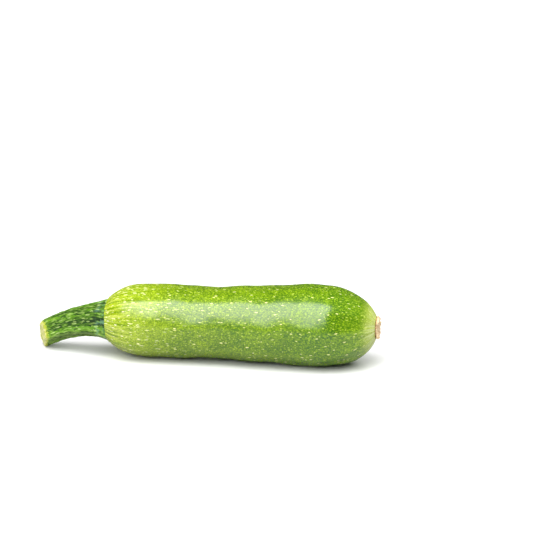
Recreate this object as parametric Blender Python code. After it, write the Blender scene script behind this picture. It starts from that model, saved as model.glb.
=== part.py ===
"""A light green zucchini, whole and as picked, lying on its side with its cut stem to the left.

Metres, +Z up. The fruit lies along +X with the blossom end at +X, and rests on z = 0. The origin is
under the middle of the whole zucchini. Each piece is a stack of rings round a line, and every ring is
worked out from the lengths, radii and ridges named here.
"""

import math

import bmesh
import bpy
from mathutils import Vector

# Fruit: lengths along its axis are counted from the tip of its stem end
FRUIT_LENGTH = 0.1540
SHOULDER = (0.0305, 0.0206)
WAIST = (0.0578, 0.0199)
BULGE = (0.1198, 0.0225)
STEM_END_LENGTH = 0.0305
STEM_END_POWERS = (2.35, 2.75)
BLOSSOM_END_LENGTH = 0.0328
BLOSSOM_END_POWERS = (2.2, 1.95)
LEAN = [(0.004, -0.008), (0.050, 0.0), (0.127, 0.0), (0.1445, 0.060), (0.151, 0.085)]
REST_FLAT_DEPTH = 0.0006

# Slant of the stem end: the slopes by which it turns and dips, and their share along the fruit
END_TURN = math.tan(math.radians(3.0))
END_DIP = math.tan(math.radians(3.6))
END_SLANT_SHARE = [(0.004, 1.0), (0.030, 0.0)]

# Ribs of the fruit: shares of its radius, and the first rib's angle from the top towards -Y
RIB_COUNT = 5
FIRST_RIB = math.radians(50)
RIB_HEIGHT = [(0.0, 0.030), (0.019, 0.020), (0.049, 0.012), (0.119, 0.011), (0.149, 0.020)]
BETWEEN_RIB_HEIGHT = [(0.0, 0.004), (0.029, 0.006), (0.119, 0.006), (0.149, 0.012)]
WAVE_HEIGHT = 0.00022
WAVE_LENGTH = 0.034

# Stem: it arches down until its tip almost touches what the fruit lies on
# Just off the fruit its foot swells into a lobe underneath: shares of the length, and of the radius
STEM_REACH = 0.0373
STEM_DROP = 0.0119
STEM_SWERVE = 0.0042
STEM_RADIUS = 0.0065
STEM_FLARE = 0.0050
STEM_FLARE_LENGTH = 0.0150
STEM_FOOT_LEAN = 0.03
STEM_LOBE = [(0.02, 0.0), (0.085, 0.15), (0.36, 0.0)]
STEM_RIDGE_HEIGHT = [(0.0, 0.050), (0.10, 0.090), (0.35, 0.105), (1.0, 0.100)]
STEM_FINE_RIDGE_HEIGHT = [(0.0, 0.010), (0.25, 0.034), (1.0, 0.028)]
STEM_SLANT_SHARE = [(0.08, 1.0), (0.50, 0.0)]
STEM_TWIST = math.radians(-12)

# Cut: oblique, with a bevelled edge and a low middle. Its rings are shares of the radius, and how deep
CUT_TURN = math.radians(28)
CUT_TILT = math.radians(7)
CUT_BEVEL = 0.0028
CUT_BEVEL_RADIUS = 0.95
CUT_DISH_DEPTH = 0.0005
CUT_RINGS = [(0.84, 0.0), (0.58, CUT_DISH_DEPTH), (0.30, CUT_DISH_DEPTH)]

# Seat of the stem in the fruit, and of the blossom scar in the other end
SEAT_GAP = 0.0003
SOCKET_START = 0.0040
SOCKET_DEPTH = 0.0015
SOCKET_CORNER = 0.0004
SOCKET_RIM_RISE = 0.0009
DISH_START = 0.00115
DISH_RADIUS = 0.0057
DISH_DEPTH = 0.0011
DISH_LIP = 1.08

# Blossom scar: a dry disc. Its rags are waves round its edge: how many, how high and their phase.
# Its rings go from a narrow back by a torn edge to a face with a low middle: how far past the
# fruit's end, the share of the radius, and the share of the rags
SCAR_RADIUS = 0.0059
SCAR_RAGS = [(3, 0.030, 0.4), (5, 0.022, 1.9), (8, 0.020, 0.9), (13, 0.014, 2.6)]
SCAR_RINGS = [
    (-0.0019, 0.42, 0.0),
    (-0.0019, 0.84, 1.0),
    (-0.0011, 0.94, 1.0),
    (-0.0003, 1.00, 1.3),
    (0.0003, 0.99, 1.3),
    (0.0006, 0.90, 1.0),
    (0.0003, 0.70, 0.5),
    (0.0001, 0.35, 0.0),
]

# Mesh density
FRUIT_SIDES = 60
FRUIT_RINGS = 54
STEM_SIDES = 60
STEM_RINGS = 22
STEM_RING_CROWDING = 1.15
SCAR_SIDES = 40
SHARP_ANGLE = math.radians(50)

# Finishes: linear colour, roughness
FRUIT_FINISH = ((0.33, 0.52, 0.06, 1), 0.32)
STEM_FINISH = ((0.13, 0.27, 0.035, 1), 0.5)
SCAR_FINISH = ((0.76, 0.58, 0.33, 1), 0.8)


def eased(stations, place):
    """The value at a place between (place, value) stations, level at each of them."""
    if place <= stations[0][0]:
        return stations[0][1]
    for (low, first), (high, second) in zip(stations, stations[1:]):
        if place <= high:
            share = (place - low) / (high - low)
            return first + (second - first) * share * share * (3 - 2 * share)
    return stations[-1][1]


def rounded_end(distance, length, powers):
    """The share of the full radius that a rounded end has, at a distance from its tip."""
    if distance >= length:
        return 1.0
    return (1 - (1 - distance / length) ** powers[0]) ** (1 / powers[1])


def axis_height(along):
    """The fruit's axis stands on the shoulder and on the bulge, which both sink in by the flat's depth."""
    slope = (BULGE[1] - SHOULDER[1]) / (BULGE[0] - SHOULDER[0])
    return SHOULDER[1] + slope * (along - SHOULDER[0]) - REST_FLAT_DEPTH


def slanted(spoke, share):
    """A spoke of the stem end, which faces a little to the back and down, so its front and top stand out."""
    return spoke + Vector((share * (END_TURN * spoke.y - END_DIP * spoke.z), 0, 0))


def round_point(along, radius, angle):
    """A point of the fruit, its angle counted from the top towards -Y."""
    spoke = Vector((0, -radius * math.sin(angle), radius * math.cos(angle)))
    middle = Vector((along, 0, axis_height(along)))
    return middle + slanted(spoke, eased(END_SLANT_SHARE, along))


def fruit_radius(along, angle):
    """The body and its two rounded ends, which lean up and down a little, with ribs and slow waves."""
    radius = eased([SHOULDER, WAIST, BULGE], along)
    radius *= rounded_end(along, STEM_END_LENGTH, STEM_END_POWERS)
    radius *= rounded_end(FRUIT_LENGTH - along, BLOSSOM_END_LENGTH, BLOSSOM_END_POWERS)
    radius *= 1 - eased(LEAN, along) * math.cos(angle)
    turn = RIB_COUNT * (angle - FIRST_RIB)
    ribs = eased(RIB_HEIGHT, along) * math.cos(turn)
    ribs += eased(BETWEEN_RIB_HEIGHT, along) * math.cos(2 * turn)
    phase = 2 * math.pi * along / WAVE_LENGTH
    wave = math.sin(2 * angle + phase) + 0.6 * math.sin(3 * angle - 1.7 * phase + 1)
    fullness = radius / BULGE[1]
    return radius * (1 + ribs) + WAVE_HEIGHT * fullness * wave


def stem_root():
    """Where the stem's foot stands along the fruit's axis, just above the socket's floor."""
    return SOCKET_START + SOCKET_DEPTH - SEAT_GAP


def stem_middle(share):
    """The stem's middle line leaves along the fruit's axis, droops as a parabola and swerves to +Y."""
    root = stem_root()
    along = root - (root + STEM_REACH) * share
    sideways = eased([(0, 0), (1, STEM_SWERVE)], share)
    return Vector((along, sideways, axis_height(root) - STEM_DROP * share * share))


def stem_direction(share):
    step = 0.001
    return (stem_middle(share + step) - stem_middle(share - step)).normalized()


def stem_radius(share, angle):
    """Five strong ridges and lesser ones between, on a stem that flares into its foot and lobe."""
    length = STEM_REACH + stem_root()
    flare = math.exp(-share * length / STEM_FLARE_LENGTH)
    radius = STEM_RADIUS + STEM_FLARE * flare
    radius *= 1 - STEM_FOOT_LEAN * flare * math.cos(angle)
    radius *= 1 + eased(STEM_LOBE, share) * ((1 - math.cos(angle)) / 2) ** 2
    turn = RIB_COUNT * (angle - FIRST_RIB - STEM_TWIST * share)
    ridges = eased(STEM_RIDGE_HEIGHT, share) * math.cos(turn)
    ridges += eased(STEM_FINE_RIDGE_HEIGHT, share) * math.cos(2 * turn + 0.5)
    return radius * (1 + ridges)


def stem_point(share, angle, radius_share=1.0):
    """A point of the stem, whose foot slants as the fruit's end does, at an angle as on the fruit."""
    direction = stem_direction(share)
    side = Vector((0, 0, 1)).cross(direction).normalized()
    up = direction.cross(side)
    radius = stem_radius(share, angle) * radius_share
    spoke = up * radius * math.cos(angle) + side * radius * math.sin(angle)
    return stem_middle(share) + slanted(spoke, eased(STEM_SLANT_SHARE, share))


def cut_normal():
    """Outward from the cut: to -X, turned towards -Y and tilted down."""
    level = math.cos(CUT_TILT)
    return Vector((-level * math.cos(CUT_TURN), -level * math.sin(CUT_TURN), -math.sin(CUT_TILT)))


def share_at_cut(angle, radius_share=1.0):
    """The share of the stem's length at which the line at this angle meets the oblique cut."""
    low, high = 0.5, 1.5
    for _ in range(30):
        middle = (low + high) / 2
        if (stem_point(middle, angle, radius_share) - stem_middle(1)).dot(cut_normal()) < 0:
            low = middle
        else:
            high = middle
    return low


def angles(sides):
    return [2 * math.pi * i / sides for i in range(sides)]


def socket_ring(along, radius_share):
    """A ring of the socket in the stem end, which follows the lobes of the stem's foot."""
    return [
        round_point(along, radius_share * (stem_radius(0, angle) + SEAT_GAP), angle)
        for angle in angles(FRUIT_SIDES)
    ]


def rim_ring():
    """The crest of the rim that the fruit raises round the stem's foot."""
    ring = []
    for angle in angles(FRUIT_SIDES):
        inner = stem_radius(0, angle) + SEAT_GAP
        radius = (inner + fruit_radius(SOCKET_START, angle)) / 2
        ring.append(round_point(SOCKET_START - SOCKET_RIM_RISE, radius, angle))
    return ring


def fruit_rings():
    """Every ring of the fruit from the socket's floor to the dish under the scar."""
    floor = SOCKET_START + SOCKET_DEPTH
    dish_start = FRUIT_LENGTH - DISH_START
    dish_floor = dish_start - DISH_DEPTH
    rings = [socket_ring(floor, 0.55), socket_ring(floor, 0.95)]
    rings += [socket_ring(floor - SOCKET_CORNER, 1.0)]
    rings += [socket_ring(SOCKET_START - SOCKET_RIM_RISE / 3, 1.0), rim_ring()]
    for step in range(FRUIT_RINGS):
        share = (1 - math.cos(math.pi * step / (FRUIT_RINGS - 1))) / 2
        along = SOCKET_START + (dish_start - SOCKET_START) * share
        rings.append([round_point(along, fruit_radius(along, a), a) for a in angles(FRUIT_SIDES)])
    lip = (dish_start - DISH_DEPTH / 4, DISH_RADIUS * DISH_LIP)
    for along, radius in (lip, (dish_floor, DISH_RADIUS), (dish_floor, DISH_RADIUS / 2)):
        rings.append([round_point(along, radius, a) for a in angles(FRUIT_SIDES)])
    return rings


def stem_rings():
    """Every ring of the stem from its foot by a bevelled edge to the dished cut."""
    bevel = CUT_BEVEL / (STEM_REACH + stem_root())
    rings = [[stem_point(0, a, 0.5) for a in angles(STEM_SIDES)]]
    ends = [share_at_cut(a) - bevel for a in angles(STEM_SIDES)]
    for step in range(STEM_RINGS + 1):
        share = (step / STEM_RINGS) ** STEM_RING_CROWDING
        rings.append([stem_point(share * end, a) for end, a in zip(ends, angles(STEM_SIDES))])
    rings.append([
        stem_point(end + bevel / 2, a, CUT_BEVEL_RADIUS) for end, a in zip(ends, angles(STEM_SIDES))
    ])
    for radius_share, depth in CUT_RINGS:
        sunk = cut_normal() * depth
        rings.append([
            stem_point(share_at_cut(a, radius_share), a, radius_share) - sunk
            for a in angles(STEM_SIDES)
        ])
    return rings


def scar_radius(angle, ragged):
    """The scar's edge, torn into uneven rags."""
    rags = sum(height * math.sin(count * angle + phase) for count, height, phase in SCAR_RAGS)
    return SCAR_RADIUS * (1 + ragged * rags)


def scar_rings():
    """Every ring of the scar, each on the fruit's axis."""
    return [
        [round_point(FRUIT_LENGTH + along, share * scar_radius(a, ragged), a) for a in angles(SCAR_SIDES)]
        for along, share, ragged in SCAR_RINGS
    ]


def mean_point(ring):
    return sum(ring, Vector()) / len(ring)


def solid_from_rings(name, rings, first_pole, last_pole, finish):
    """One closed object skinned over its rings, with a pole at each end, and its own material."""
    mesh = bpy.data.meshes.new(name)
    shape = bmesh.new()
    loops = [[shape.verts.new(point) for point in ring] for ring in rings]
    count = len(rings[0])
    for inner, outer in zip(loops, loops[1:]):
        for i in range(count):
            j = (i + 1) % count
            shape.faces.new((inner[i], inner[j], outer[j], outer[i]))
    for pole, loop in ((first_pole, loops[0]), (last_pole, loops[-1])):
        centre = shape.verts.new(pole)
        for i in range(count):
            shape.faces.new((centre, loop[i], loop[(i + 1) % count]))
    bmesh.ops.recalc_face_normals(shape, faces=shape.faces)
    if shape.calc_volume(signed=True) < 0:
        bmesh.ops.reverse_faces(shape, faces=shape.faces)
    bmesh.ops.triangulate(shape, faces=shape.faces)
    shape.to_mesh(mesh)
    shape.free()
    mesh.shade_smooth()
    mesh.set_sharp_from_angle(angle=SHARP_ANGLE)
    piece = bpy.data.objects.new(name, mesh)
    bpy.context.scene.collection.objects.link(piece)
    material = bpy.data.materials.new(name)
    material.use_nodes = True
    shader = material.node_tree.nodes["Principled BSDF"]
    shader.inputs["Base Color"].default_value, shader.inputs["Roughness"].default_value = finish
    shader.inputs["Metallic"].default_value = 0
    mesh.materials.append(material)
    return piece


def make_fruit():
    rings = fruit_rings()
    for ring in rings:
        for point in ring:
            point.z = max(point.z, 0)
    return solid_from_rings("fruit", rings, mean_point(rings[0]), mean_point(rings[-1]), FRUIT_FINISH)


def make_stem():
    rings = stem_rings()
    pith = stem_middle(1) - cut_normal() * CUT_DISH_DEPTH
    return solid_from_rings("stem", rings, stem_middle(0), pith, STEM_FINISH)


def make_scar():
    rings = scar_rings()
    return solid_from_rings("blossom_scar", rings, mean_point(rings[0]), mean_point(rings[-1]), SCAR_FINISH)


def put_origin_under_middle(pieces):
    """Moves every piece alike, so that the origin is under the middle of the whole."""
    points = [vertex.co for piece in pieces for vertex in piece.data.vertices]
    middle_x = (min(p.x for p in points) + max(p.x for p in points)) / 2
    middle_y = (min(p.y for p in points) + max(p.y for p in points)) / 2
    for piece in pieces:
        for vertex in piece.data.vertices:
            vertex.co -= Vector((middle_x, middle_y, 0))


def main():
    for old in list(bpy.data.objects):
        bpy.data.objects.remove(old, do_unlink=True)
    put_origin_under_middle([make_fruit(), make_stem(), make_scar()])


main()
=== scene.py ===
import math

import bpy
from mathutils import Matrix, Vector, noise


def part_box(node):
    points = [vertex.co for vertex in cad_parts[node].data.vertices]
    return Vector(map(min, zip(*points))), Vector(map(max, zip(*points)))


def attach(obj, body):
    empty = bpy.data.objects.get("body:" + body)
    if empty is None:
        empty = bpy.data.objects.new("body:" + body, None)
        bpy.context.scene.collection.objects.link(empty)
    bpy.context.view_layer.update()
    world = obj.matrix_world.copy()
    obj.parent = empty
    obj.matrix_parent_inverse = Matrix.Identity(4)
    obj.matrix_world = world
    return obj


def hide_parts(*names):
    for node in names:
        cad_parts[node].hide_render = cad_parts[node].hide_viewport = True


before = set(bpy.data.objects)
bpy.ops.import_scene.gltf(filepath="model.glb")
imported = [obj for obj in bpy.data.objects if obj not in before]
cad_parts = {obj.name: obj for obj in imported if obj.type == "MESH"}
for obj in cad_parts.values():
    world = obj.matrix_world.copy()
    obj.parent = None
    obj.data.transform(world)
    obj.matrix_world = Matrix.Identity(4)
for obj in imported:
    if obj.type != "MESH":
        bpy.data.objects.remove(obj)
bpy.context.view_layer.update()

# The photograph's view: angles round the part and above it, metres away, and pixels of the square frame
VIEW_AZIMUTH = math.radians(9.6)
VIEW_ELEVATION = math.radians(16)
VIEW_DISTANCE = 1.4
IMAGE_SIZE = 533
FOCAL_PIXELS = 2520
SENSOR_WIDTH = 36
AIM_HEIGHT = 0.0215
AIM_PIXEL = (205.5, 320.5)

# Fruit, in metres along its axis from the tip of its stem end. Its leans and ribs are shares of the radius
FRUIT_LENGTH = 0.1540
SHOULDER = (0.0305, 0.0206)
WAIST = (0.0578, 0.0199)
BULGE = (0.1198, 0.0225)
STEM_END_LENGTH = 0.0305
STEM_END_POWERS = (2.35, 2.75)
BLOSSOM_END_LENGTH = 0.0328
BLOSSOM_END_POWERS = (2.2, 1.95)
LEAN = [(0.004, -0.008), (0.050, 0.0), (0.127, 0.0), (0.1445, 0.060), (0.151, 0.085)]
REST_FLAT_DEPTH = 0.0006
END_TURN = math.tan(math.radians(3.0))
END_DIP = math.tan(math.radians(3.6))
END_SLANT_SHARE = [(0.004, 1.0), (0.030, 0.0)]
RIB_COUNT = 5
FIRST_RIB = math.radians(50)
RIB_HEIGHT = [(0.0, 0.030), (0.019, 0.020), (0.049, 0.012), (0.119, 0.011), (0.149, 0.020)]
BETWEEN_RIB_HEIGHT = [(0.0, 0.004), (0.029, 0.006), (0.119, 0.006), (0.149, 0.012)]
WAVE_HEIGHT = 0.00022
WAVE_LENGTH = 0.034
SECOND_WAVE_HEIGHT = 0.6
SECOND_WAVE_PACE = 1.7
SECOND_WAVE_PHASE = 1

# Stem and its cut. Stations are at shares of its length. The lobe swells out under its foot, and it and the
# ridges are shares of the radius
STEM_REACH = 0.0373
STEM_DROP = 0.0119
STEM_SWERVE = 0.0042
STEM_RADIUS = 0.0065
STEM_FLARE = 0.0050
STEM_FLARE_LENGTH = 0.0150
STEM_FOOT_LEAN = 0.03
STEM_LOBE = [(0.02, 0.0), (0.085, 0.15), (0.36, 0.0)]
STEM_RIDGE_HEIGHT = [(0.0, 0.050), (0.10, 0.090), (0.35, 0.105), (1.0, 0.100)]
STEM_FINE_RIDGE_HEIGHT = [(0.0, 0.010), (0.25, 0.034), (1.0, 0.028)]
STEM_FINE_RIDGE_PHASE = 0.5
STEM_SLANT_SHARE = [(0.08, 1.0), (0.50, 0.0)]
STEM_TWIST = math.radians(-12)
CUT_TURN = math.radians(28)
CUT_TILT = math.radians(7)
CUT_BEVEL = 0.0028
CUT_EDGE = 0.84

# Seats of the stem and of the blossom scar. A profile's rows are a distance out from the socket's floor, or
# in from the dish's edge, and a share of the seat's radius
SEAT_GAP = 0.0003
SOCKET_START = 0.0040
SOCKET_DEPTH = 0.0015
SOCKET_PROFILE = [(0.0, 0.5), (0.0, 0.93), (0.0004, 0.99), (0.0009, 1.0)]
SOCKET_RIM_RISE = 0.0009
SOCKET_RIM_ROUNDNESS = 0.8
DISH_START = 0.00115
DISH_RADIUS = 0.0057
DISH_DEPTH = 0.0011
DISH_PROFILE = [(0.0001, 1.14), (0.0004, 1.05), (0.0008, 1.0), (DISH_DEPTH, 0.93), (DISH_DEPTH, 0.5)]
SCAR_RADIUS = 0.0059

# Relief of the skin. Dents are heights and lump sizes. Pleats are a height, a reach from the fruit's end
# and how fine they are round it
SKIN_DENTS = [(0.00007, 0.0075), (0.00003, 0.0030)]
STEM_END_PLEATS = (0.0010, 0.024, 6.5)
BLOSSOM_END_PLEATS = (0.0007, 0.014, 8.5)
PLEAT_LENGTH = 0.030
PLEAT_LEVEL = 0.2

# Relief of the bark. A layer is the length of its lumps, the part of the noise that it reads, and how fine
# it is round the stem. The relief is faint in the socket and grows to full by this much a stem's length
BARK_LENGTH = 0.040
BARK_GROOVES = (0.022, 0, 5.5)
BARK_WARTS = (0.0030, 3, 6.0)
BARK_GRAIN = (0.0011, 9, 15.0)
GROOVE_HEIGHT = 0.00030
WART_HEIGHT = 0.00042
WART_LEVEL = 0.12
BARK_GRAIN_HEIGHT = 0.00010
FOOT_WART_HEIGHT = 0.00035
FOOT_WART_REACH = 0.10
SOCKET_RELIEF = 0.15
RELIEF_GROWTH = 9
FOOT_WART_GROWTH = 14

# Relief of the cut, where radii are shares of the stem's
BEVEL_ROUNDNESS = 1.7
CUT_GRAIN_HEIGHT = 0.00009
CUT_GRAIN_SIZE = 0.0009
CUT_SINK = 0.0002
CUT_SINK_RINGS = 6
PITH_DEPTH = 0.0006
PITH_RADIUS = 0.45
BUNDLE_HEIGHT = 0.00025
BUNDLE_RADIUS = 0.62
BUNDLE_WIDTH = 0.07

# Blossom scar. Its rags are waves round its edge: how many, how high as a share of the radius, and their
# phase. Tears, crumples and the curl are a height, how fine they are, and the part of the noise that they
# read. The back, this far behind the fruit's end, stays flat. The profile goes from the back by the torn
# edge to a face with a low middle: metres past the fruit's end, a share of the radius and one of the rags
SCAR_RAGS = [(3, 0.045, 0.4), (5, 0.030, 1.9), (8, 0.020, 0.9), (13, 0.014, 2.6)]
SCAR_TEARS = (0.080, 5, 2)
SCAR_CRUMPLE = (0.00045, 5, 5)
SCAR_FINE_CRUMPLE = (0.00018, 15, 15)
SCAR_CURL = (0.0016, 1.6, 7)
SCAR_FLAT_BACK = 0.0012
SCAR_PROFILE = [
    (-0.0019, 0.42, 0.0),
    (-0.0019, 0.84, 1.0),
    (-0.0012, 0.90, 1.0),
    (-0.0007, 0.95, 1.2),
    (-0.0003, 0.99, 1.6),
    (0.0000, 1.00, 1.8),
    (0.0003, 0.985, 1.8),
    (0.0005, 0.95, 1.6),
    (0.0006, 0.90, 1.3),
    (0.0005, 0.83, 1.0),
    (0.0004, 0.76, 0.7),
    (0.0002, 0.66, 0.5),
    (0.0001, 0.55, 0.3),
    (0.0000, 0.44, 0.2),
    (0.0001, 0.32, 0.1),
    (0.0004, 0.22, 0.0),
    (0.0005, 0.12, 0.0),
]

# How fine the visible meshes are, how far the fruit's rings crowd towards its ends, and between which
# shares of the stem's length the cut is searched for, and in how many halvings
FRUIT_SIDES = 320
FRUIT_RINGS = 290
FRUIT_RING_CROWDING = 0.55
LIP_RINGS = 8
STEM_SIDES = 240
STEM_RINGS = 150
BEVEL_RINGS = 6
CUT_RINGS = 24
FOOT_INNER_RING = 0.5
CUT_SEARCH = (0.5, 1.5)
CUT_HALVINGS = 24
SCAR_SIDES = 120


def eased(stations, place):
    """The value at a place between (place, value) stations, level at each of them."""
    if place <= stations[0][0]:
        return stations[0][1]
    for (low, first), (high, second) in zip(stations, stations[1:]):
        if place <= high:
            share = (place - low) / (high - low)
            return first + (second - first) * share * share * (3 - 2 * share)
    return stations[-1][1]


def rounded_end(distance, length, powers):
    """The share of the full radius that a rounded end has, at a distance from its tip."""
    if distance >= length:
        return 1.0
    return (1 - (1 - distance / length) ** powers[0]) ** (1 / powers[1])


AXIS_SLOPE = (BULGE[1] - SHOULDER[1]) / (BULGE[0] - SHOULDER[0])


def axis_height(along):
    """The height of the fruit's axis, which stands on the shoulder and on the bulge."""
    return SHOULDER[1] + AXIS_SLOPE * (along - SHOULDER[0]) - REST_FLAT_DEPTH


def slanted(spoke, share):
    """A spoke of the stem end, which faces a little back and down, so that its front and top stand out."""
    return spoke + Vector((share * (END_TURN * spoke.y - END_DIP * spoke.z), 0, 0))


def round_point(along, radius, angle):
    """A point round the fruit's axis, its angle counted from the top towards -Y."""
    spoke = Vector((0, -radius * math.sin(angle), radius * math.cos(angle)))
    middle = Vector((FRUIT_START + along, FRUIT_MIDDLE_Y, axis_height(along)))
    return middle + slanted(spoke, eased(END_SLANT_SHARE, along))


def angles(sides):
    """Angles once round, as many as there are sides."""
    return [2 * math.pi * i / sides for i in range(sides)]


# Fruit

def fruit_radius(along, angle):
    """The body and its two rounded ends, with ribs and slow waves, as the solid has them."""
    radius = eased([SHOULDER, WAIST, BULGE], along)
    radius *= rounded_end(along, STEM_END_LENGTH, STEM_END_POWERS)
    radius *= rounded_end(FRUIT_LENGTH - along, BLOSSOM_END_LENGTH, BLOSSOM_END_POWERS)
    radius *= 1 - eased(LEAN, along) * math.cos(angle)
    turn = RIB_COUNT * (angle - FIRST_RIB)
    ribs = eased(RIB_HEIGHT, along) * math.cos(turn)
    ribs += eased(BETWEEN_RIB_HEIGHT, along) * math.cos(2 * turn)
    phase = 2 * math.pi * along / WAVE_LENGTH
    wave = math.sin(2 * angle + phase)
    wave += SECOND_WAVE_HEIGHT * math.sin(3 * angle - SECOND_WAVE_PACE * phase + SECOND_WAVE_PHASE)
    fullness = radius / BULGE[1]
    return radius * (1 + ribs) + WAVE_HEIGHT * fullness * wave


def sideways_reach():
    """How far the fruit's widest part, 90 to 144 mm along it, reaches to -Y and to +Y of its axis."""
    reach = [-fruit_radius(step / 1000, a) * math.sin(a) for step in range(90, 145) for a in angles(60)]
    return min(reach), max(reach)


# Where the fruit's own axis lies in the frame: its box ends at the dish, and its widest part fills its width
FRUIT_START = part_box("fruit")[1][0] - (FRUIT_LENGTH - DISH_START)
FRUIT_MIDDLE_Y = (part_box("fruit")[0][1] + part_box("fruit")[1][1] - sum(sideways_reach())) / 2


def pleats(along, around, distance, height, reach, fineness):
    """Creases that run lengthwise and fade away at this reach from the fruit's end."""
    crease = abs(noise.noise(Vector((along / PLEAT_LENGTH, 0, 0)) + around * fineness)) - PLEAT_LEVEL
    return height * crease * max(0, 1 - distance / reach) ** 2


def skin_relief(along, angle):
    """What the skin has besides its ribs: shallow dents, and pleats that run into both ends."""
    around = Vector((0, math.cos(angle), math.sin(angle)))
    place = Vector((along, 0, 0)) + around * BULGE[1]
    relief = sum(height * noise.noise(place / size) for height, size in SKIN_DENTS)
    relief += pleats(along, around, along - SOCKET_START, *STEM_END_PLEATS)
    relief += pleats(along, around, FRUIT_LENGTH - along, *BLOSSOM_END_PLEATS)
    return relief


def fruit_rings():
    """Every ring of the fruit from the socket's floor to the dish under the scar."""
    floor = SOCKET_START + SOCKET_DEPTH
    dish_start = FRUIT_LENGTH - DISH_START
    turns = angles(FRUIT_SIDES)
    inner = [stem_radius(0, a) + SEAT_GAP for a in turns]
    start = [fruit_radius(SOCKET_START, a) + skin_relief(SOCKET_START, a) for a in turns]
    rings = []
    for rise, share in SOCKET_PROFILE:
        rings.append([round_point(floor - rise, share * r, a) for r, a in zip(inner, turns)])
    for step in range(1, LIP_RINGS):
        turn = math.pi * step / LIP_RINGS
        share = (1 - math.cos(turn)) / 2
        rise = SOCKET_RIM_RISE * math.sin(turn) ** SOCKET_RIM_ROUNDNESS
        rings.append([
            round_point(SOCKET_START - rise, low + (high - low) * share, a)
            for low, high, a in zip(inner, start, turns)
        ])
    for step in range(FRUIT_RINGS):
        share = step / (FRUIT_RINGS - 1)
        share += FRUIT_RING_CROWDING * (share * share * (3 - 2 * share) - share)
        along = SOCKET_START + (dish_start - SOCKET_START) * share
        rings.append([round_point(along, fruit_radius(along, a) + skin_relief(along, a), a) for a in turns])
    for drop, share in DISH_PROFILE:
        rings.append([round_point(dish_start - drop, DISH_RADIUS * share, a) for a in turns])
    for ring in rings:
        for point in ring:
            point.z = max(point.z, 0)
    return rings


# Stem

STEM_ROOT = SOCKET_START + SOCKET_DEPTH - SEAT_GAP


def stem_middle(share):
    """The stem's middle line leaves along the fruit's axis, droops as a parabola and swerves to +Y."""
    along = STEM_ROOT - (STEM_ROOT + STEM_REACH) * share
    sideways = eased([(0, 0), (1, STEM_SWERVE)], share)
    height = axis_height(STEM_ROOT) - STEM_DROP * share * share
    return Vector((FRUIT_START + along, FRUIT_MIDDLE_Y + sideways, height))


def stem_direction(share):
    """The way that the stem's middle line runs at a share of its length."""
    step = 0.001
    return (stem_middle(share + step) - stem_middle(share - step)).normalized()


def stem_radius(share, angle):
    """Five strong ridges and lesser ones between, on a stem that flares into its foot and lobe."""
    length = STEM_REACH + STEM_ROOT
    flare = math.exp(-share * length / STEM_FLARE_LENGTH)
    radius = STEM_RADIUS + STEM_FLARE * flare
    radius *= 1 - STEM_FOOT_LEAN * flare * math.cos(angle)
    radius *= 1 + eased(STEM_LOBE, share) * ((1 - math.cos(angle)) / 2) ** 2
    turn = RIB_COUNT * (angle - FIRST_RIB - STEM_TWIST * share)
    ridges = eased(STEM_RIDGE_HEIGHT, share) * math.cos(turn)
    ridges += eased(STEM_FINE_RIDGE_HEIGHT, share) * math.cos(2 * turn + STEM_FINE_RIDGE_PHASE)
    return radius * (1 + ridges)


def bark_relief(share, angle):
    """Fine grooves along the stem, and low warts that are drawn out lengthwise, with more at its foot."""
    turn = angle - STEM_TWIST * share
    around = Vector((0, math.cos(turn), math.sin(turn)))

    def layer(length, part, fineness):
        return noise.noise(Vector((share * BARK_LENGTH / length, part, 0)) + around * fineness)

    warts = layer(*BARK_WARTS)
    height = GROOVE_HEIGHT * layer(*BARK_GROOVES)
    height += WART_HEIGHT * max(0, warts - WART_LEVEL)
    height += BARK_GRAIN_HEIGHT * layer(*BARK_GRAIN)
    foot = FOOT_WART_HEIGHT * math.exp(-share / FOOT_WART_REACH) * max(0, warts)
    return height * min(1, SOCKET_RELIEF + share * RELIEF_GROWTH) + foot * min(1, share * FOOT_WART_GROWTH)


def stem_point(share, angle, radius_share=1.0, relief=0.0):
    """A point of the stem, at a share of its length and an angle from the top towards -Y."""
    direction = stem_direction(share)
    side = Vector((0, 0, 1)).cross(direction).normalized()
    up = direction.cross(side)
    radius = stem_radius(share, angle) * radius_share + relief
    spoke = up * radius * math.cos(angle) + side * radius * math.sin(angle)
    return stem_middle(share) + slanted(spoke, eased(STEM_SLANT_SHARE, share))


def cut_normal():
    """Outward from the cut: to -X, turned towards -Y and tilted down."""
    level = math.cos(CUT_TILT)
    return Vector((-level * math.cos(CUT_TURN), -level * math.sin(CUT_TURN), -math.sin(CUT_TILT)))


def share_at_cut(angle, radius_share=1.0):
    """The share of the stem's length at which the line at this angle meets the oblique cut."""
    low, high = CUT_SEARCH
    for _ in range(CUT_HALVINGS):
        middle = (low + high) / 2
        if (stem_point(middle, angle, radius_share) - stem_middle(1)).dot(cut_normal()) < 0:
            low = middle
        else:
            high = middle
    return low


def cut_relief(point, radius_share, angle, step):
    """The cut's grain and its ring of bundles, one under each ridge, less its sunken face and pith."""
    grain = CUT_GRAIN_HEIGHT * noise.noise(point / CUT_GRAIN_SIZE)
    sunk = CUT_SINK * min(1, step / CUT_SINK_RINGS)
    sunk += PITH_DEPTH * max(0, 1 - (radius_share / PITH_RADIUS) ** 2)
    bundle = BUNDLE_HEIGHT * math.exp(-((radius_share - BUNDLE_RADIUS) / BUNDLE_WIDTH) ** 2)
    bundle *= max(0, math.cos(RIB_COUNT * (angle - FIRST_RIB - STEM_TWIST))) ** 2
    return grain + bundle - sunk


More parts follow.
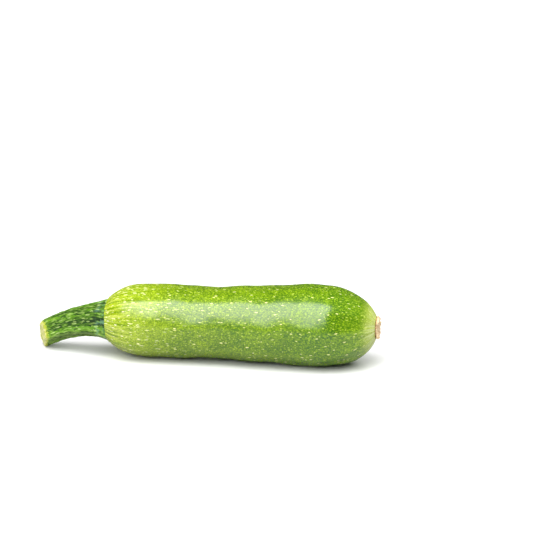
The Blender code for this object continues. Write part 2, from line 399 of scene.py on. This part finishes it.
def stem_rings():
    """Every ring of the stem from its foot by a bevelled edge to the middle of the cut."""
    turns = angles(STEM_SIDES)
    bevel = CUT_BEVEL / (STEM_REACH + STEM_ROOT)
    ends = [share_at_cut(a) - bevel for a in turns]
    reliefs = [bark_relief(end, a) for end, a in zip(ends, turns)]
    rings = [[stem_point(0, a, FOOT_INNER_RING) for a in turns]]
    for step in range(STEM_RINGS + 1):
        share = step / STEM_RINGS
        rings.append([
            stem_point(share * end, a, 1.0, bark_relief(share * end, a)) for end, a in zip(ends, turns)
        ])
    for step in range(1, BEVEL_RINGS):
        share = step / BEVEL_RINGS
        radius_share = 1 - (1 - CUT_EDGE) * share ** BEVEL_ROUNDNESS
        rings.append([
            stem_point(end + share * bevel, a, radius_share, relief)
            for end, relief, a in zip(ends, reliefs, turns)
        ])
    normal = cut_normal()
    # The bark's relief fades away over the outer third of the cut
    for step in range(CUT_RINGS):
        radius_share = CUT_EDGE * (1 - step / CUT_RINGS)
        bark_share = max(0, 1 - 3 * step / CUT_RINGS)
        ring = []
        for a, relief in zip(turns, reliefs):
            point = stem_point(share_at_cut(a, radius_share), a, radius_share, relief * bark_share)
            ring.append(point + normal * cut_relief(point, radius_share, a, step))
        rings.append(ring)
    return rings


# Blossom scar

def scar_layer(layer, angle, share=1.0):
    """One layer of the scar's relief at an angle and a share of the radius."""
    height, fineness, part = layer
    out = share * fineness
    return height * noise.noise(Vector((out * math.cos(angle), out * math.sin(angle), part)))


def scar_ring(along, share, ragged):
    """One ring of the scar, with torn edges, and crumpled and curled where it isn't the back."""
    front = max(0, min(1, (along + SCAR_FLAT_BACK) / SCAR_FLAT_BACK))
    ring = []
    for a in angles(SCAR_SIDES):
        rags = sum(height * math.sin(count * a + phase) for count, height, phase in SCAR_RAGS)
        rags += scar_layer(SCAR_TEARS, a)
        crumple = scar_layer(SCAR_CRUMPLE, a, share) + scar_layer(SCAR_FINE_CRUMPLE, a, share)
        crumple += share * scar_layer(SCAR_CURL, a)
        radius = share * SCAR_RADIUS * (1 + ragged * rags)
        ring.append(round_point(FRUIT_LENGTH + along + crumple * front, radius, a))
    return ring


def scar_rings():
    """Every ring of the scar, from its back to its face."""
    return [scar_ring(*row) for row in SCAR_PROFILE]


# Meshes

def mean_point(ring):
    return sum(ring, Vector()) / len(ring)


def mesh_from_rings(name, rings):
    """One closed piece skinned over its rings, with a pole at each end."""
    count = len(rings[0])
    points = [point for ring in rings for point in ring]
    points += [mean_point(rings[0]), mean_point(rings[-1])]
    faces = []
    for row in range(len(rings) - 1):
        low = row * count
        for i in range(count):
            j = (i + 1) % count
            faces.append((low + i, low + count + i, low + count + j, low + j))
    last = (len(rings) - 1) * count
    for i in range(count):
        j = (i + 1) % count
        faces.append((len(points) - 2, i, j))
        faces.append((len(points) - 1, last + j, last + i))
    mesh = bpy.data.meshes.new(name)
    mesh.from_pydata([tuple(point) for point in points], [], faces)
    mesh.update()
    mesh.shade_smooth()
    piece = bpy.data.objects.new(name, mesh)
    bpy.context.scene.collection.objects.link(piece)
    return piece


# Materials

class Shader:
    """A material, with a short call for each kind of node that it needs."""

    def __init__(self, name):
        self.material = bpy.data.materials.new(name)
        self.material.use_nodes = True
        self.tree = self.material.node_tree
        self.surface = self.tree.nodes["Principled BSDF"]

    def add(self, kind, inputs, **settings):
        """A new node of this kind, with these inputs linked or set."""
        node = self.tree.nodes.new(kind)
        for name, value in settings.items():
            setattr(node, name, value)
        for name, value in inputs.items():
            self.put(node.inputs[name], value)
        return node

    def put(self, socket, value):
        """Links a socket to another one, or sets it to a value."""
        if isinstance(value, bpy.types.NodeSocket):
            self.tree.links.new(value, socket)
        else:
            socket.default_value = value

    def math(self, operation, first, second=0.0):
        return self.add("ShaderNodeMath", {0: first, 1: second}, operation=operation).outputs[0]

    def vector(self, operation, first, second):
        return self.add("ShaderNodeVectorMath", {0: first, 1: second}, operation=operation).outputs[0]

    def times(self, first, second):
        return self.math("MULTIPLY", first, second)

    def plus(self, first, second):
        return self.math("ADD", first, second)

    def between(self, value, low, high, start=0.0, end=1.0):
        """start where the value is low, end where it is high, and eased between them."""
        inputs = {"Value": value, "From Min": low, "From Max": high, "To Min": start, "To Max": end}
        return self.add("ShaderNodeMapRange", inputs, interpolation_type="SMOOTHSTEP").outputs[0]

    def noise(self, place, size, detail=2.0, roughness=0.5, stretch=1.0):
        """Noise with lumps of about this size, in metres, drawn out along X where stretch is under 1."""
        if stretch != 1.0:
            place = self.vector("MULTIPLY", place, (stretch, 1, 1))
        inputs = {"Vector": place, "Scale": 1 / size, "Detail": detail, "Roughness": roughness}
        return self.add("ShaderNodeTexNoise", inputs).outputs[0]

    def flecks(self, place, stretch, spacing, smallest, largest, rarity=0.0):
        """Scattered spots from 0 to 1, drawn out along X where stretch is under 1.

        Each has its own radius, from smallest to largest as shares of the spacing. Those whose draw is
        under the rarity are left out.
        """
        place = self.vector("MULTIPLY", place, (stretch, 1, 1))
        cells = self.add("ShaderNodeTexVoronoi", {"Vector": place, "Scale": 1 / spacing})
        draw = self.add("ShaderNodeSeparateColor", {0: cells.outputs["Color"]}).outputs[0]
        radius = self.between(draw, 0.0, 1.0, smallest, largest)
        radius = self.math("SUBTRACT", radius, self.math("LESS_THAN", draw, rarity))
        outside = self.math("SUBTRACT", cells.outputs["Distance"], radius)
        return self.between(outside, FLECK_SOFTNESS, -FLECK_SOFTNESS)

    def crooked(self, place, lumps, shift):
        """The place moved about by as much as the shift, with this many lumps a metre."""
        waves = self.add("ShaderNodeTexNoise", {"Vector": place, "Scale": lumps, "Detail": 1.0})
        offset = self.vector("SUBTRACT", waves.outputs["Color"], (0.5, 0.5, 0.5))
        return self.vector("ADD", place, self.vector("MULTIPLY", offset, shift))

    def mix(self, share, first, second):
        """The first colour where the share is 0, and the second where it is 1."""
        node = self.add("ShaderNodeMix", {}, data_type="RGBA")
        self.put(node.inputs[0], share)
        self.put(node.inputs[6], first)
        self.put(node.inputs[7], second)
        return node.outputs[2]

    def blend(self, share, screen_colours):
        """A blend of two screen colours, by a share."""
        return self.mix(share, *[linear_colour(one) for one in screen_colours])

    def lay(self, under, value, tint, where=1.0):
        """A tint laid over what is under it, where the value is past its edges."""
        edges, screen_colour, cover = tint
        share = self.times(self.between(value, *edges), where)
        return self.mix(self.times(share, cover), under, linear_colour(screen_colour))

    def ramp(self, share, stops):
        """Colours along a share, each stop a place and a screen colour."""
        node = self.add("ShaderNodeValToRGB", {"Fac": share})
        node.color_ramp.interpolation = "EASE"
        while len(node.color_ramp.elements) < len(stops):
            node.color_ramp.elements.new(0.5)
        for element, (place, screen_colour) in zip(node.color_ramp.elements, stops):
            element.position = place
            element.color = linear_colour(screen_colour)
        return node.outputs["Color"]

    def bump(self, height, depth):
        """Relief as deep as this, in metres, for heights from 0 to 1."""
        inputs = {"Height": height, "Distance": depth, "Strength": 1.0}
        self.put(self.surface.inputs["Normal"], self.add("ShaderNodeBump", inputs).outputs[0])


def linear_colour(screen_colour):
    """An opaque linear colour, by the sRGB curve, from red, green and blue in 0 to 255."""
    linear = []
    for level in screen_colour:
        share = level / 255
        linear.append(share / 12.92 if share <= 0.04045 else ((share + 0.055) / 1.055) ** 2.4)
    return (*linear, 1)


# In all materials, colours are as a screen shows them, and sizes and spacings are metres. Edges are where a
# noise, or a place, goes from 0 to 1. A tint is its edges, its colour and how much it covers. Bends are how
# many lumps a metre and how far they move a mark. A fleck's edge is soft by this share of the spacing
FLECK_SOFTNESS = 0.035

# Skin, with its colours by the share of the fruit's length
PATTERN_RADIUS = 0.0215
SKIN_LIGHT = [
    (0.02, (196, 214, 42)),
    (0.12, (184, 208, 40)),
    (0.30, (162, 191, 24)),
    (0.60, (149, 181, 14)),
    (0.85, (141, 177, 10)),
    (0.94, (150, 182, 30)),
    (0.98, (202, 214, 112)),
    (1.00, (190, 198, 50)),
]
SKIN_DEEP = [
    (0.02, (140, 164, 0)),
    (0.12, (114, 144, 0)),
    (0.30, (76, 114, 0)),
    (0.60, (70, 111, 0)),
    (0.85, (55, 102, 0)),
    (0.94, (74, 118, 0)),
    (0.98, (150, 174, 44)),
    (1.00, (150, 162, 0)),
]
SKIN_STIPPLE = {"size": 0.00066, "detail": 1.0, "stretch": 0.75}
STIPPLE_EDGES = (0.40, 0.60)
STIPPLE_WEIGHT = 0.50
SKIN_DOTS = {"stretch": 0.75, "spacing": 0.00088, "smallest": 0.19, "largest": 0.42}
DOT_WEIGHT = 0.70
SKIN_BLOTCH = {"size": 0.009, "stretch": 0.5}
BLOTCH_EDGES = (0.3, 0.7)
BLOTCH_WEIGHT = 0.12
SKIN_TONE_EDGES = (-0.12, 1.12)

# Streaks on the skin: dark and pale ones near the stem, and pale ones that run ragged from the scar
SKIN_LINES = {"size": 0.0011, "roughness": 0.6, "stretch": 0.06}
STEM_END_REACH = (0.006, 0.034)
SCAR_STREAK_LENGTH = 0.006
SCAR_STREAK_RAGGEDNESS = 0.012
DARK_STREAK = ((0.46, 0.38), (84, 124, 0), 0.80)
PALE_STREAK = ((0.54, 0.62), (222, 228, 110), 0.55)
SCAR_STREAK = ((0.40, 0.56), (208, 218, 146), 0.80)

# Flecks on the skin. Bold ones stand in loose rows, and dashes crowd at the stem end. The second colour of a
# pair is the one at the stem end
FLECK_BENDS = (700.0, (0.0008, 0.0006, 0.0006))
FLECK_ROWS = {"size": 0.0042, "detail": 1.0, "stretch": 0.02}
FLECK_ROW_EDGES = (0.38, 0.62)
ROW_GAP_RARITY = 0.30
FINE_FLECKS = {"stretch": 0.50, "spacing": 0.0012, "smallest": 0.10, "largest": 0.23, "rarity": 0.20}
FINE_FLECK_COLOURS = ((208, 224, 92), (240, 242, 150))
FINE_FLECK_COVER = 0.75
BOLD_FLECKS = {"stretch": 0.34, "spacing": 0.0017, "smallest": 0.07, "largest": 0.18}
BOLD_FLECK_COLOURS = ((250, 245, 158), (255, 252, 204))
BOLD_FLECK_COVER = 0.95
SKIN_DASHES = {"stretch": 0.26, "spacing": 0.0013, "smallest": 0.11, "largest": 0.26, "rarity": 0.25}
SKIN_DASH_REACH = (0.014, 0.066)
SKIN_DASH_COLOUR = (250, 250, 178)
SKIN_DASH_COVER = 0.88

# Gloss and fine relief of the skin
SKIN_GLOSS = 0.75
SKIN_ROUGHNESS = 0.21
STIPPLE_ROUGHNESS = 0.05
BOLD_FLECK_ROUGHNESS = 0.12
SKIN_BUMP = 0.000022
GRAIN_RELIEF = 0.5
BOLD_FLECK_RELIEF = 0.4

# Bark, with its colours by the share of the stem's length; its bluish colours at the foot are a painted
# sheen. It is darker between the ridges as painted shade, paler underneath as painted bounce light, and has
# painted bluish sheen in patches at its foot
BARK_DARK = [
    (0.05, (14, 54, 20)),
    (0.11, (18, 54, 0)),
    (0.70, (30, 70, 0)),
    (1.00, (56, 104, 0)),
]
BARK_PALE = [
    (0.05, (82, 140, 78)),
    (0.11, (88, 138, 16)),
    (0.70, (96, 146, 20)),
    (1.00, (126, 172, 30)),
]
BARK_BENDS = (300.0, (0.002, 0.0012, 0.0012))
BARK_FIBRES = {"size": 0.00095, "detail": 3.0, "roughness": 0.65, "stretch": 0.13}
BARK_THREADS = {"size": 0.00060, "detail": 1.0, "stretch": 0.16}
GROOVE_SHADE_EDGES = (-1.0, 0.2)
GROOVE_SHADE_TONES = (-0.10, 0.03)
BARK_TONE_EDGES = (0.34, 0.62)
PAINTED_UNDERSIDE_BOUNCE = ((-0.15, -0.75), (146, 182, 84), 0.44)
DARK_THREAD = ((0.46, 0.36), (18, 46, 0), 0.75)
PALE_THREAD = ((0.56, 0.66), (150, 184, 84), 0.60)
SHEEN_PATCH_SIZE = 0.0034
FOOT_PAINTED_SHEEN = ((0.50, 0.62), (122, 170, 144), 0.50)
FOOT_SHEEN_REACH = (0.26, 0.12)
BARK_DASH_BENDS = (700.0, (0.0012, 0.0006, 0.0006))
BARK_DASHES = {"stretch": 0.22, "spacing": 0.0010, "smallest": 0.12, "largest": 0.32, "rarity": 0.10}
BARK_DASH_COLOUR = (176, 204, 116)
BARK_DASH_COVER = 0.65
BARK_DASH_RELIEF = 0.5
BARK_GLOSS = 0.35
FIBRE_EDGES = (0.3, 0.7)
BARK_ROUGHNESS = (0.50, 0.34)
BARK_BUMP = 0.00014

# Flesh of the cut, with its colours by the share of its radius. Its greener rim, its fraying and its start
# are metres outward from the plane of the cut
FLESH_RADIUS = 0.0080
FLESH = [
    (0.00, (168, 174, 80)),
    (0.30, (204, 206, 110)),
    (0.58, (142, 158, 34)),
    (0.72, (198, 202, 92)),
    (0.95, (190, 198, 74)),
]
FLESH_CRUMBS = {"size": 0.0011, "detail": 3.0, "roughness": 0.6}
FLESH_GRAIN = ((0.42, 0.62), (230, 226, 150), 1.0)
FLESH_RIM = ((-0.0006, -0.0011), (176, 190, 24), 0.8)
FRAY_EDGES = (0.3, 0.7)
FRAY_DEPTH = 0.0005
FLESH_START = (-0.0017, -0.0012)

# Dry tissue of the blossom scar, with a darker and a paler colour for its face and for its edge. The face
# takes over from the edge between two distances past the fruit's end
SCAR_CRUMBS = {"size": 0.0008, "detail": 4.0, "roughness": 0.65}
SCAR_TONE_EDGES = (0.35, 0.65)
SCAR_FACE_COLOURS = ((206, 164, 116), (250, 232, 190))
SCAR_EDGE_COLOURS = ((104, 58, 16), (204, 150, 82))
SCAR_FACE_START = (-0.0011, -0.0004)
SCAR_ROUGHNESS_EDGES = (0.2, 0.8)
SCAR_ROUGHNESS = (0.95, 0.7)
SCAR_BUMP = 0.0003


def skin_place(shader):
    """The place on the skin as on a straight tube, so that marks crowd together where the ends round in."""
    place = shader.add("ShaderNodeTexCoord", {}).outputs["Object"]
    apart = shader.add("ShaderNodeSeparateXYZ", {0: place}).outputs
    along = shader.math("SUBTRACT", apart[0], FRUIT_START)
    rise = shader.times(along, AXIS_SLOPE)
    height = shader.math("SUBTRACT", shader.math("SUBTRACT", apart[2], axis_height(0)), rise)
    across = shader.math("SUBTRACT", apart[1], FRUIT_MIDDLE_Y)
    spoke = shader.add("ShaderNodeCombineXYZ", {1: across, 2: height}).outputs[0]
    spoke = shader.add("ShaderNodeVectorMath", {0: spoke}, operation="NORMALIZE").outputs[0]
    round_part = shader.vector("MULTIPLY", spoke, (0, PATTERN_RADIUS, PATTERN_RADIUS))
    along_part = shader.add("ShaderNodeCombineXYZ", {0: along}).outputs[0]
    return shader.vector("ADD", round_part, along_part), along


def skin_material():
    """Waxy skin: lime at the stem end, greener beyond, finely stippled, with cream flecks and streaks."""
    shader = Shader("zucchini_skin")
    place, along = skin_place(shader)
    share = shader.math("DIVIDE", along, FRUIT_LENGTH)
    stipple = shader.between(shader.noise(place, **SKIN_STIPPLE), *STIPPLE_EDGES)
    dots = shader.flecks(place, **SKIN_DOTS)
    grain = shader.plus(shader.times(stipple, STIPPLE_WEIGHT), shader.times(dots, DOT_WEIGHT))
    blotch = shader.noise(place, **SKIN_BLOTCH)
    blotch = shader.between(blotch, *BLOTCH_EDGES, -BLOTCH_WEIGHT, BLOTCH_WEIGHT)
    tone = shader.between(shader.plus(grain, blotch), *SKIN_TONE_EDGES)
    skin = shader.mix(tone, shader.ramp(share, SKIN_DEEP), shader.ramp(share, SKIN_LIGHT))

    lines = shader.noise(place, **SKIN_LINES)
    near_stem = shader.between(along, *STEM_END_REACH, 1.0, 0.0)
    reach = shader.plus(along, shader.times(lines, SCAR_STREAK_RAGGEDNESS))
    near_scar = shader.between(reach, FRUIT_LENGTH, FRUIT_LENGTH + SCAR_STREAK_LENGTH)
    skin = shader.lay(skin, lines, DARK_STREAK, near_stem)
    skin = shader.lay(skin, lines, PALE_STREAK, near_stem)
    skin = shader.lay(skin, lines, SCAR_STREAK, near_scar)

    bent = shader.crooked(place, *FLECK_BENDS)
    rarity = shader.between(shader.noise(place, **FLECK_ROWS), *FLECK_ROW_EDGES, ROW_GAP_RARITY, 0.0)
    fine = shader.flecks(bent, **FINE_FLECKS)
    bold = shader.flecks(bent, **BOLD_FLECKS, rarity=rarity)
    dashes = shader.flecks(bent, **SKIN_DASHES)
    dashes = shader.times(dashes, shader.between(along, *SKIN_DASH_REACH, 1.0, 0.0))
    fine_colour = shader.blend(near_stem, FINE_FLECK_COLOURS)
    bold_colour = shader.blend(near_stem, BOLD_FLECK_COLOURS)
    skin = shader.mix(shader.times(fine, FINE_FLECK_COVER), skin, fine_colour)
    skin = shader.mix(shader.times(bold, BOLD_FLECK_COVER), skin, bold_colour)
    skin = shader.mix(shader.times(dashes, SKIN_DASH_COVER), skin, linear_colour(SKIN_DASH_COLOUR))

    rough = shader.plus(shader.times(stipple, STIPPLE_ROUGHNESS), SKIN_ROUGHNESS)
    rough = shader.plus(rough, shader.times(bold, BOLD_FLECK_ROUGHNESS))
    relief = shader.plus(shader.times(grain, GRAIN_RELIEF), shader.times(bold, BOLD_FLECK_RELIEF))
    relief = shader.plus(relief, shader.times(lines, shader.plus(near_stem, near_scar)))
    shader.put(shader.surface.inputs["Base Color"], skin)
    shader.put(shader.surface.inputs["Roughness"], rough)
    shader.bump(relief, SKIN_BUMP)
    shader.surface.inputs["Specular IOR Level"].default_value = SKIN_GLOSS
    return shader.material


def stem_place(shader):
    """The place on the stem, the same as on a straight tube that isn't twisted, and how far along it is."""
    place = shader.add("ShaderNodeTexCoord", {}).outputs["Object"]
    apart = shader.add("ShaderNodeSeparateXYZ", {0: place}).outputs
    behind = shader.math("SUBTRACT", FRUIT_START + STEM_ROOT, apart[0])
    share = shader.math("DIVIDE", behind, STEM_REACH + STEM_ROOT)
    swerve = shader.between(share, 0.0, 1.0, 0.0, STEM_SWERVE)
    drop = shader.times(shader.times(share, share), STEM_DROP)
    across = shader.math("SUBTRACT", shader.math("SUBTRACT", apart[1], FRUIT_MIDDLE_Y), swerve)
    height = shader.plus(shader.math("SUBTRACT", apart[2], axis_height(STEM_ROOT)), drop)
    spoke = shader.add("ShaderNodeCombineXYZ", {1: across, 2: height}).outputs[0]
    turn = shader.times(share, -STEM_TWIST)
    spoke = shader.add("ShaderNodeVectorRotate", {"Vector": spoke, "Angle": turn}, rotation_type="X_AXIS")
    spoke = shader.add("ShaderNodeVectorMath", {0: spoke.outputs[0]}, operation="NORMALIZE").outputs[0]
    round_part = shader.vector("MULTIPLY", spoke, (0, STEM_RADIUS, STEM_RADIUS))
    along_part = shader.add("ShaderNodeCombineXYZ", {0: behind}).outputs[0]
    return place, shader.vector("ADD", round_part, along_part), spoke, share


def cut_flesh(shader, place):
    """The cut's grainy colour, greener at its rim, and a share that is 1 on the cut and 0 on the bark."""
    from_middle = shader.vector("SUBTRACT", place, tuple(stem_middle(1)))
    normal = {0: from_middle, 1: tuple(cut_normal())}
    depth = shader.add("ShaderNodeVectorMath", normal, operation="DOT_PRODUCT").outputs["Value"]
    spread = shader.add("ShaderNodeVectorMath", {0: from_middle}, operation="LENGTH").outputs["Value"]
    crumbs = shader.noise(place, **FLESH_CRUMBS)
    flesh = shader.ramp(shader.math("DIVIDE", spread, FLESH_RADIUS), FLESH)
    flesh = shader.lay(flesh, crumbs, FLESH_GRAIN)
    flesh = shader.lay(flesh, depth, FLESH_RIM)
    frayed = shader.plus(depth, shader.between(crumbs, *FRAY_EDGES, -FRAY_DEPTH, FRAY_DEPTH))
    return flesh, shader.between(frayed, *FLESH_START)


def stem_material():
    """Dark ridged bark with pale dashes and painted shade in its grooves, a painted bluish sheen at the
    foot, painted bounce light underneath, lighter at the tip, and a pale wet cut.
    """
    shader = Shader("zucchini_stem")
    place, tube, spoke, share = stem_place(shader)
    parts = shader.add("ShaderNodeSeparateXYZ", {0: spoke}).outputs
    angle = shader.math("ARCTAN2", shader.times(parts[1], -1.0), parts[2])
    turn = shader.math("SUBTRACT", shader.times(angle, float(RIB_COUNT)), RIB_COUNT * FIRST_RIB)
    ridge = shader.math("COSINE", turn)
    wavy = shader.crooked(tube, *BARK_BENDS)
    fibre = shader.noise(wavy, **BARK_FIBRES)
    threads = shader.noise(wavy, **BARK_THREADS)
    # Painted shade: the bark is darker in the grooves between the ridges
    tone = shader.plus(fibre, shader.between(ridge, *GROOVE_SHADE_EDGES, *GROOVE_SHADE_TONES))
    dark = shader.ramp(share, BARK_DARK)
    pale = shader.ramp(share, BARK_PALE)
    bark = shader.mix(shader.between(tone, *BARK_TONE_EDGES), dark, pale)
    # Painted bounce light: a paler tint on the underside of the stem
    bark = shader.lay(bark, parts[2], PAINTED_UNDERSIDE_BOUNCE)
    bark = shader.lay(bark, threads, DARK_THREAD)
    bark = shader.lay(bark, threads, PALE_THREAD)
    # Painted sheen: bluish patches at the foot stand in for highlights there
    sheen_patches = shader.noise(place, SHEEN_PATCH_SIZE)
    bark = shader.lay(bark, sheen_patches, FOOT_PAINTED_SHEEN, shader.between(share, *FOOT_SHEEN_REACH))
    dashes = shader.flecks(shader.crooked(tube, *BARK_DASH_BENDS), **BARK_DASHES)
    bark = shader.mix(shader.times(dashes, BARK_DASH_COVER), bark, linear_colour(BARK_DASH_COLOUR))
    flesh, is_cut = cut_flesh(shader, place)
    shader.put(shader.surface.inputs["Base Color"], shader.mix(is_cut, bark, flesh))
    rough = shader.between(fibre, *FIBRE_EDGES, *BARK_ROUGHNESS)
    shader.put(shader.surface.inputs["Roughness"], rough)
    shader.bump(shader.plus(tone, shader.times(dashes, BARK_DASH_RELIEF)), BARK_BUMP)
    shader.surface.inputs["Specular IOR Level"].default_value = BARK_GLOSS
    return shader.material


def scar_material():
    """Dry corky tissue, cream on its face and browned along its torn edge."""
    shader = Shader("zucchini_scar")
    place = shader.add("ShaderNodeTexCoord", {}).outputs["Object"]
    apart = shader.add("ShaderNodeSeparateXYZ", {0: place}).outputs
    beyond = shader.math("SUBTRACT", apart[0], FRUIT_START + FRUIT_LENGTH)
    crumbs = shader.noise(place, **SCAR_CRUMBS)
    tone = shader.between(crumbs, *SCAR_TONE_EDGES)
    face = shader.blend(tone, SCAR_FACE_COLOURS)
    edge = shader.blend(tone, SCAR_EDGE_COLOURS)
    tissue = shader.mix(shader.between(beyond, *SCAR_FACE_START), edge, face)
    rough = shader.between(crumbs, *SCAR_ROUGHNESS_EDGES, *SCAR_ROUGHNESS)
    shader.put(shader.surface.inputs["Base Color"], tissue)
    shader.put(shader.surface.inputs["Roughness"], rough)
    shader.bump(crumbs, SCAR_BUMP)
    return shader.material


# Pieces

def dress(name, rings, material, node):
    """Makes the visible piece that stands for a node."""
    piece = mesh_from_rings(name, rings)
    piece.data.materials.append(material)
    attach(piece, "root")
    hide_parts(node)


# Studio

# The soft boxes stand far off in front and reach overhead, so that they light the whole floor alike. Their
# edges end the highlight. Each has its lower and upper edge, as degrees from the floor in front, its left
# and right edge, in metres from the part's middle, and how many times as bright as white it is
LIGHT_DISTANCE = 8.0
SOFT_BOXES = {
    "soft_box": ((18, 93), (-5.4, -0.1), 5.2),
    "soft_box_left": ((24, 88), (-6.6, -5.4), 2.6),
    "soft_box_right": ((44, 93), (-0.1, 0.8), 5.0),
    "soft_box_edge": ((60, 93), (0.8, 1.6), 2.6),
}
# A dimmer box beside them lightens the shadows on the right, and isn't mirrored in the skin
FILL = ((50, 130), (0.8, 12.0), 2.7)
WORLD_LIGHT = 0.10
WORLD_SHOWN = 1.1
FLOOR_SIZE = 30.0
# The photograph's ground is burnt out to white, so the floor is shown paler than it lights the part
FLOOR_SHOWN = (0.85, 0.85, 0.85, 1)
FLOOR_LIGHTING = (0.54, 0.54, 0.54, 1)
FLOOR_ROUGHNESS = 0.9
FLOOR_GLOSS = 0.1


def make_floor():
    """A wide plain matte floor, level with what the part rests on."""
    bpy.ops.mesh.primitive_plane_add(size=FLOOR_SIZE, location=(0, 0, 0))
    floor = bpy.context.object
    floor.name = "floor"
    shader = Shader("pale_floor")
    seen = shader.add("ShaderNodeLightPath", {}).outputs["Is Camera Ray"]
    shader.put(shader.surface.inputs["Base Color"], shader.mix(seen, FLOOR_LIGHTING, FLOOR_SHOWN))
    shader.surface.inputs["Roughness"].default_value = FLOOR_ROUGHNESS
    shader.surface.inputs["Specular IOR Level"].default_value = FLOOR_GLOSS
    floor.data.materials.append(shader.material)


def add_light(name, rise, sides, white):
    """A flat soft box that faces the part, between these edges, so many times as bright as white."""
    middle = math.radians(sum(rise) / 2)
    light = bpy.data.lights.new(name, "AREA")
    light.shape = "RECTANGLE"
    light.size = sides[1] - sides[0]
    light.size_y = 2 * LIGHT_DISTANCE * math.tan(math.radians(rise[1] - rise[0]) / 2)
    light.energy = math.pi * white * light.size * light.size_y
    lamp = bpy.data.objects.new(name, light)
    lamp.location = (sum(sides) / 2, -LIGHT_DISTANCE * math.cos(middle), LIGHT_DISTANCE * math.sin(middle))
    lamp.rotation_euler = (math.pi / 2 - middle, 0, 0)
    bpy.context.scene.collection.objects.link(lamp)
    return lamp


def make_world():
    """White for the camera, and a dimmer white for what lights the part and is mirrored in it."""
    world = bpy.data.worlds.new("studio")
    world.use_nodes = True
    tree = world.node_tree
    background = tree.nodes["Background"]
    background.inputs["Color"].default_value = (1, 1, 1, 1)
    rays = tree.nodes.new("ShaderNodeLightPath")
    strength = tree.nodes.new("ShaderNodeMix")
    strength.inputs[2].default_value = WORLD_LIGHT
    strength.inputs[3].default_value = WORLD_SHOWN
    tree.links.new(rays.outputs["Is Camera Ray"], strength.inputs[0])
    tree.links.new(strength.outputs[0], background.inputs["Strength"])
    bpy.context.scene.world = world


def make_camera():
    """Stands where the photograph was taken from, so that the part falls on the same pixels."""
    azimuth, elevation = VIEW_AZIMUTH, VIEW_ELEVATION
    back = Vector((
        math.sin(azimuth) * math.cos(elevation),
        -math.cos(azimuth) * math.cos(elevation),
        math.sin(elevation),
    ))
    right = Vector((math.cos(azimuth), math.sin(azimuth), 0))
    up = back.cross(right)
    to_metres = VIEW_DISTANCE / FOCAL_PIXELS
    centre = IMAGE_SIZE / 2
    place = Vector((0, 0, AIM_HEIGHT)) + back * VIEW_DISTANCE
    place -= right * (AIM_PIXEL[0] - centre) * to_metres
    place += up * (AIM_PIXEL[1] - centre) * to_metres
    data = bpy.data.cameras.new("camera")
    data.sensor_width = SENSOR_WIDTH
    data.lens = FOCAL_PIXELS / IMAGE_SIZE * SENSOR_WIDTH
    camera = bpy.data.objects.new("camera", data)
    camera.location = place
    camera.rotation_euler = back.to_track_quat("Z", "Y").to_euler()
    bpy.context.scene.collection.objects.link(camera)
    bpy.context.scene.camera = camera


make_camera()
dress("fruit_skin", fruit_rings(), skin_material(), "fruit")
dress("ridged_stem", stem_rings(), stem_material(), "stem")
dress("dry_blossom_scar", scar_rings(), scar_material(), "blossom_scar")
make_floor()
make_world()
for name, (rise, sides, white) in SOFT_BOXES.items():
    add_light(name, rise, sides, white)
fill = add_light("fill", *FILL)
fill.visible_glossy = False
bpy.context.scene.view_settings.view_transform = "Standard"
